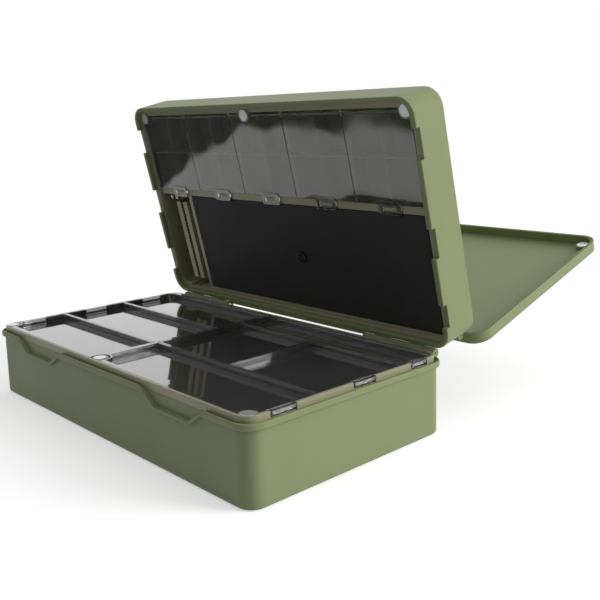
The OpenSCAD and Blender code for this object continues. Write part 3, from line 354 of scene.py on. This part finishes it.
# %% Finish: foam
def foam_finish():
    material = bpy.data.materials.new("closed-cell foam")
    material.use_nodes = True
    tree = material.node_tree
    shader = tree.nodes["Principled BSDF"]
    shader.inputs["Specular IOR Level"].default_value = 0.35
    shader.inputs["Sheen Weight"].default_value = 0.12
    place = add(tree, "ShaderNodeTexCoord").outputs["Object"]
    cells = add(tree, "ShaderNodeTexVoronoi", Scale=900.0)
    cloud = add(tree, "ShaderNodeTexNoise", Scale=26.0, Detail=6.0, Roughness=0.7)
    crumb = add(tree, "ShaderNodeTexNoise", Scale=1900.0, Detail=3.0)
    for pattern in (cells, cloud, crumb):
        join(tree, place, pattern.inputs["Vector"])
    ramp = add(tree, "ShaderNodeValToRGB")
    ramp.color_ramp.elements[0].color = (0.0140, 0.0140, 0.0143, 1)
    ramp.color_ramp.elements[1].color = (0.031, 0.0305, 0.030, 1)
    broad = maths(tree, "MULTIPLY", cloud.outputs["Fac"], 0.55)
    mix = maths(tree, "MULTIPLY_ADD", crumb.outputs["Fac"], 0.45, broad)
    join(tree, mix, ramp.inputs["Fac"])
    join(tree, ramp.outputs["Color"], shader.inputs["Base Color"])
    join(tree, spread(tree, cloud.outputs["Fac"], 0.62, 0.82), shader.inputs["Roughness"])
    bump = add(tree, "ShaderNodeBump", Strength=0.8, Distance=0.00008)
    join(tree, maths(tree, "ADD", cells.outputs["Distance"], crumb.outputs["Fac"]), bump.inputs["Height"])
    join(tree, bump.outputs[0], shader.inputs["Normal"])
    return material


finish["foam"] = foam_finish()
print("foam finish:", finish["foam"].name)

# %% [markdown]
# ### Steel and nickel
# The hinge pins are drawn wire with fine lines along their length, and the magnets are
# nickel plated, with a bright, slightly scuffed face. Both are one recipe: a noise that
# is stretched for the wire and left even for the plating varies the roughness.

# %% Finish: metals
def metal_finish(name, colour, roughness, lines, depth):
    """Bare metal. lines stretches the scuffs, and depth is theirs in metres."""
    material = bpy.data.materials.new(name)
    material.use_nodes = True
    tree = material.node_tree
    shader = tree.nodes["Principled BSDF"]
    shader.inputs["Metallic"].default_value = 1.0
    place = add(tree, "ShaderNodeTexCoord").outputs["Object"]
    stretch = add(tree, "ShaderNodeMapping")
    stretch.inputs["Scale"].default_value = lines
    scuffs = add(tree, "ShaderNodeTexNoise", Scale=1400.0, Detail=4.0, Roughness=0.7)
    tarnish = add(tree, "ShaderNodeTexNoise", Scale=220.0, Detail=3.0)
    join(tree, place, stretch.inputs["Vector"])
    join(tree, stretch.outputs[0], scuffs.inputs["Vector"])
    join(tree, place, tarnish.inputs["Vector"])
    ramp = add(tree, "ShaderNodeValToRGB")
    ramp.color_ramp.elements[0].color = (*[0.78 * c for c in colour], 1)
    ramp.color_ramp.elements[1].color = (*colour, 1)
    join(tree, tarnish.outputs["Fac"], ramp.inputs["Fac"])
    join(tree, ramp.outputs["Color"], shader.inputs["Base Color"])
    shine = spread(tree, scuffs.outputs["Fac"], roughness - 0.08, roughness + 0.12)
    join(tree, shine, shader.inputs["Roughness"])
    bump = add(tree, "ShaderNodeBump", Strength=0.6, Distance=depth)
    join(tree, scuffs.outputs["Fac"], bump.inputs["Height"])
    join(tree, bump.outputs[0], shader.inputs["Normal"])
    return material


finish["steel"] = metal_finish("drawn wire", (0.62, 0.62, 0.61), roughness=0.30,
                               lines=(0.05, 1, 1), depth=0.00001)
finish["magnet"] = metal_finish("nickel plate", (0.86, 0.87, 0.88), roughness=0.38,
                                lines=(1, 1, 1), depth=0.000001)
print("finishes:", len(finish))

# %% [markdown]
# ## Giving each piece its finish
# The exact shapes are right as they are, so most pieces only get their material. The
# mesh stays the exact one, and the material slot takes the finish. The tub, the tray
# walls with the plate between its two sides, and the top lid are green. The seat
# frames and the small walls are khaki, and the lids are smoke-clear.

# %% Finishes on the exact pieces
def paint(node, material):
    mesh = nodes[node].data
    mesh.materials.clear()
    mesh.materials.append(material)


for node in ("base_tub", "tray_shell", "tray_web", "top_lid"):
    paint(node, finish["shell"])
for node in ("base_frame", "tray_frame", "tray_top_frame", "base_centre_wall"):
    paint(node, finish["frame"])
for side in ("left", "right"):
    for row in ("front", "middle", "rear"):
        paint(f"base_lid_{side}_{row}", finish["smoke"])
for number in range(1, 6):
    paint(f"strip_lid_{number}", finish["flat smoke"])
for node in ("tray_hinge_pins", "lid_hinge_pins", "hook_pegs"):
    paint(node, finish["steel"])
print("painted:", sum(1 for n in nodes.values() if n.data.materials and n.data.materials[0].name in
                      [m.name for m in finish.values()]))

# %% [markdown]
# ## Rounded copies of the simple pieces
# The board, the magnets, the comb and the small walls are simple blocks and discs seen
# close by, and there a real rounding shows in the outline too. Each is a merged copy of
# its exact node: the loose triangles are joined, flat faces become single faces again,
# and a Bevel modifier rounds the edges. The bevel only cuts inwards, so the size stays.

# %% Copy a node with rounded edges
bodies = frame["record"]["behaviour"]["bodies"]
body_of = {node: body for body, members in bodies.items() for node in members}


def rounded(node, material, width, segments=2, angle=32):
    """A merged copy of a node with its edges rounded. width is in metres, angle in degrees."""
    mesh = nodes[node].data.copy()
    for layer in ("custom_normal", "sharp_edge", "sharp_face"):
        if layer in mesh.attributes:
            mesh.attributes.remove(mesh.attributes[layer])
    bm = bmesh.new()
    bm.from_mesh(mesh)
    bmesh.ops.remove_doubles(bm, verts=bm.verts, dist=0.000004)
    bmesh.ops.dissolve_limit(bm, angle_limit=math.radians(0.6), verts=bm.verts, edges=bm.edges,
                             use_dissolve_boundaries=False, delimit=set())
    for face in bm.faces:
        face.smooth = True
    bm.to_mesh(mesh)
    bm.free()
    mesh.materials.clear()
    mesh.materials.append(material)
    piece = bpy.data.objects.new("rounded_" + node, mesh)
    bpy.context.scene.collection.objects.link(piece)
    bevel = piece.modifiers.new("rounded edges", "BEVEL")
    bevel.width = width
    bevel.segments = segments
    bevel.limit_method = "ANGLE"
    bevel.angle_limit = math.radians(angle)
    bevel.harden_normals = True
    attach(piece, body_of[node])
    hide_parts(node)
    print(f"{node}: {len(mesh.polygons)} faces before rounding, edges of {1000 * width:g} mm")
    return piece


print("bodies:", len(bodies))

# %% [markdown]
# ### Which pieces are rounded
# The foam board gets the widest rounding and its knob half of that. The magnets, the
# comb, the stirrup and the small walls get a fifth of a millimetre, which catches the
# light and leaves a thin wall its thickness.

# %% Board, magnets, comb and small walls
small_edge = 0.0002
rounded("rig_board", finish["foam"], width=0.0006, segments=3)
rounded("rig_board_knob", finish["knob"], width=0.0003, segments=3)
for node in ("base_magnets", "tray_lower_magnets", "tray_upper_magnets", "lid_magnets"):
    rounded(node, finish["magnet"], small_edge)
for node in ("base_left_dividers", "base_right_dividers", "base_cross_divider", "strip_cells", "rig_comb",
             "comb_bracket"):
    rounded(node, finish["frame"], small_edge)

# %% [markdown]
# ## The studio
# The box stands on a white sweep in soft light. The world gives a plain level from all
# sides, more from overhead and less from the front right, where the camera stands.
# Camera and see-through rays meet a white room of strength 1 instead. Mirror rays meet
# that white too where it is behind the box, so the polished lids have something pale to
# show, and a dim room in front. Lamps all round could do the same, but one graph is
# plainer and has no edges that show in the lids.

# %% World
plain_level, more_overhead, less_in_front = 0.42, 0.32, 0.30
mirror_less_in_front = 0.86
front_right = (0.62, -0.78, 0.0)
world = bpy.data.worlds.new("white room")
bpy.context.scene.world = world
world.use_nodes = True
tree = world.node_tree
tree.nodes.clear()
way = add(tree, "ShaderNodeLightPath")
toward = add(tree, "ShaderNodeTexCoord").outputs["Generated"]
straight = maths(tree, "MAXIMUM", way.outputs["Is Camera Ray"], way.outputs["Is Transmission Ray"])


def facing(tree, vector, direction, low, high):
    """0 where the vector's share of a direction is below low, 1 above high, smooth between."""
    dot = add(tree, "ShaderNodeVectorMath", operation="DOT_PRODUCT")
    join(tree, vector, dot.inputs[0])
    dot.inputs[1].default_value = direction
    ramp = add(tree, "ShaderNodeMapRange", interpolation_type="SMOOTHSTEP")
    ramp.inputs["From Min"].default_value = low
    ramp.inputs["From Max"].default_value = high
    join(tree, dot.outputs["Value"], ramp.inputs["Value"])
    return ramp.outputs["Result"]


dim = facing(tree, toward, front_right, -0.1, 0.9)
plain = maths(tree, "MULTIPLY_ADD", dim, -less_in_front, plain_level)
overhead = facing(tree, toward, (0.0, 0.0, 1.0), 0.1, 1.0)
level = maths(tree, "MULTIPLY_ADD", overhead, more_overhead, plain)
in_front = facing(tree, toward, (0.0, -1.0, 0.0), 0.05, 0.35)
mirror = maths(tree, "MULTIPLY_ADD", in_front, -mirror_less_in_front, 1.0)
level_mirror = add(tree, "ShaderNodeMix", data_type="FLOAT")
join(tree, way.outputs["Is Glossy Ray"], level_mirror.inputs[0])
join(tree, level, level_mirror.inputs[2])
join(tree, mirror, level_mirror.inputs[3])
strength = maths(tree, "MAXIMUM", straight, level_mirror.outputs[0])
room = add(tree, "ShaderNodeBackground", Color=(1.0, 1.0, 1.0, 1))
join(tree, strength, room.inputs["Strength"])
join(tree, room.outputs[0], add(tree, "ShaderNodeOutputWorld").inputs["Surface"])
print("world:", world.name)

# %% [markdown]
# ### The lamp
# One large soft lamp stands to the right and behind, and lifts the faces that look that
# way. A disc this wide gives a shadow with a soft edge. It is hidden from the camera and
# from mirror rays, so that no pane shows its shape.

# %% Lamp
def soft_lamp(name, at, aim, size, watts):
    data = bpy.data.lights.new(name, "AREA")
    data.shape = "DISK"
    data.size = size
    data.energy = watts
    lamp = bpy.data.objects.new(name, data)
    bpy.context.scene.collection.objects.link(lamp)
    lamp.location = at
    lamp.rotation_euler = (Vector(aim) - Vector(at)).to_track_quat("-Z", "Y").to_euler()
    lamp.visible_camera = False
    lamp.visible_glossy = False
    return lamp


soft_lamp("right_softbox", (1.85, 1.35, 0.95), (0.0, 0.0, 0.12), size=1.4, watts=50)

# %% [markdown]
# ### The floor
# The floor is one wide flat disc, a fifth of a millimetre below the box. It is lit like it and
# keeps its shadow, and a little glow keeps it pale where it is looked at. Further out it
# fades to the white of the room, so no horizon shows. Rays that only carry light from it
# to the box meet a darker grey. Mirror rays find that it ends like a table, at the left
# and in front, with a dark room beyond.

# %% Floor
floor_radius = 12.0
below_the_box = 0.0002
bm = bmesh.new()
bmesh.ops.create_circle(bm, cap_ends=True, segments=64, radius=floor_radius)
floor_mesh = bpy.data.meshes.new("floor")
bm.to_mesh(floor_mesh)
bm.free()
floor = bpy.data.objects.new("floor", floor_mesh)
bpy.context.scene.collection.objects.link(floor)
floor_mesh.transform(Matrix.Translation((0, 0, -below_the_box)))
print("floor radius", floor_radius, "m")

# %% [markdown]
# ### The white sweep
# The floor's material mixes five plain shaders, and masks made from the distance and the
# kind of ray choose between them.

# %% The floor's material
white_from, white_to = 0.22, 0.75
left_end, front_end = (0.62, 0.66), (0.36, 0.40)
box_front = (-0.12, -0.10)
material = bpy.data.materials.new("white sweep")
material.use_nodes = True
tree = material.node_tree
tree.nodes.clear()
place = add(tree, "ShaderNodeTexCoord").outputs["Object"]
length = add(tree, "ShaderNodeVectorMath", operation="LENGTH")
join(tree, place, length.inputs[0])
far = add(tree, "ShaderNodeMapRange", interpolation_type="SMOOTHSTEP")
far.inputs["From Min"].default_value = white_from
far.inputs["From Max"].default_value = white_to
join(tree, length.outputs["Value"], far.inputs["Value"])
way = add(tree, "ShaderNodeLightPath")
looked_at = maths(tree, "MAXIMUM", way.outputs["Is Camera Ray"], way.outputs["Is Glossy Ray"])
seen = maths(tree, "MAXIMUM", looked_at, way.outputs["Is Transmission Ray"])
matt = add(tree, "ShaderNodeBsdfDiffuse", Color=(0.80, 0.80, 0.80, 1))
soft_bounce = add(tree, "ShaderNodeBsdfDiffuse", Color=(0.50, 0.50, 0.50, 1))
glow = add(tree, "ShaderNodeEmission", Color=(1, 1, 1, 1), Strength=0.44)
lit = add(tree, "ShaderNodeAddShader")
join(tree, matt.outputs[0], lit.inputs[0])
join(tree, glow.outputs[0], lit.inputs[1])
near = add(tree, "ShaderNodeMixShader")
join(tree, seen, near.inputs["Fac"])
join(tree, soft_bounce.outputs[0], near.inputs[1])
join(tree, lit.outputs[0], near.inputs[2])
paper = add(tree, "ShaderNodeEmission", Color=(1, 1, 1, 1), Strength=1.0)
fade = add(tree, "ShaderNodeMixShader")
join(tree, maths(tree, "MULTIPLY", seen, far.outputs[0]), fade.inputs["Fac"])
join(tree, near.outputs[0], fade.inputs[1])
join(tree, paper.outputs[0], fade.inputs[2])
over = maths(tree, "MAXIMUM", facing(tree, place, (-1.0, 0.0, 0.0), *left_end),
             facing(tree, place, (0.0, -1.0, 0.0), *front_end))
dark = add(tree, "ShaderNodeEmission", Color=(1, 1, 1, 1), Strength=0.10)
edge_of_table = add(tree, "ShaderNodeMixShader")
behind = facing(tree, place, (0.0, 1.0, 0.0), *box_front)
mirrored = maths(tree, "MULTIPLY", way.outputs["Is Glossy Ray"], maths(tree, "SUBTRACT", 1.0, behind))
join(tree, maths(tree, "MULTIPLY", mirrored, over), edge_of_table.inputs["Fac"])
join(tree, fade.outputs[0], edge_of_table.inputs[1])
join(tree, dark.outputs[0], edge_of_table.inputs[2])
join(tree, edge_of_table.outputs[0], add(tree, "ShaderNodeOutputMaterial").inputs["Surface"])
floor_mesh.materials.append(material)
print("floor material:", material.name)

# %% [markdown]
# ## The colour view
# Colours are shown as they are written, with no film curve.

# %% Finish
bpy.context.scene.view_settings.view_transform = "Standard"
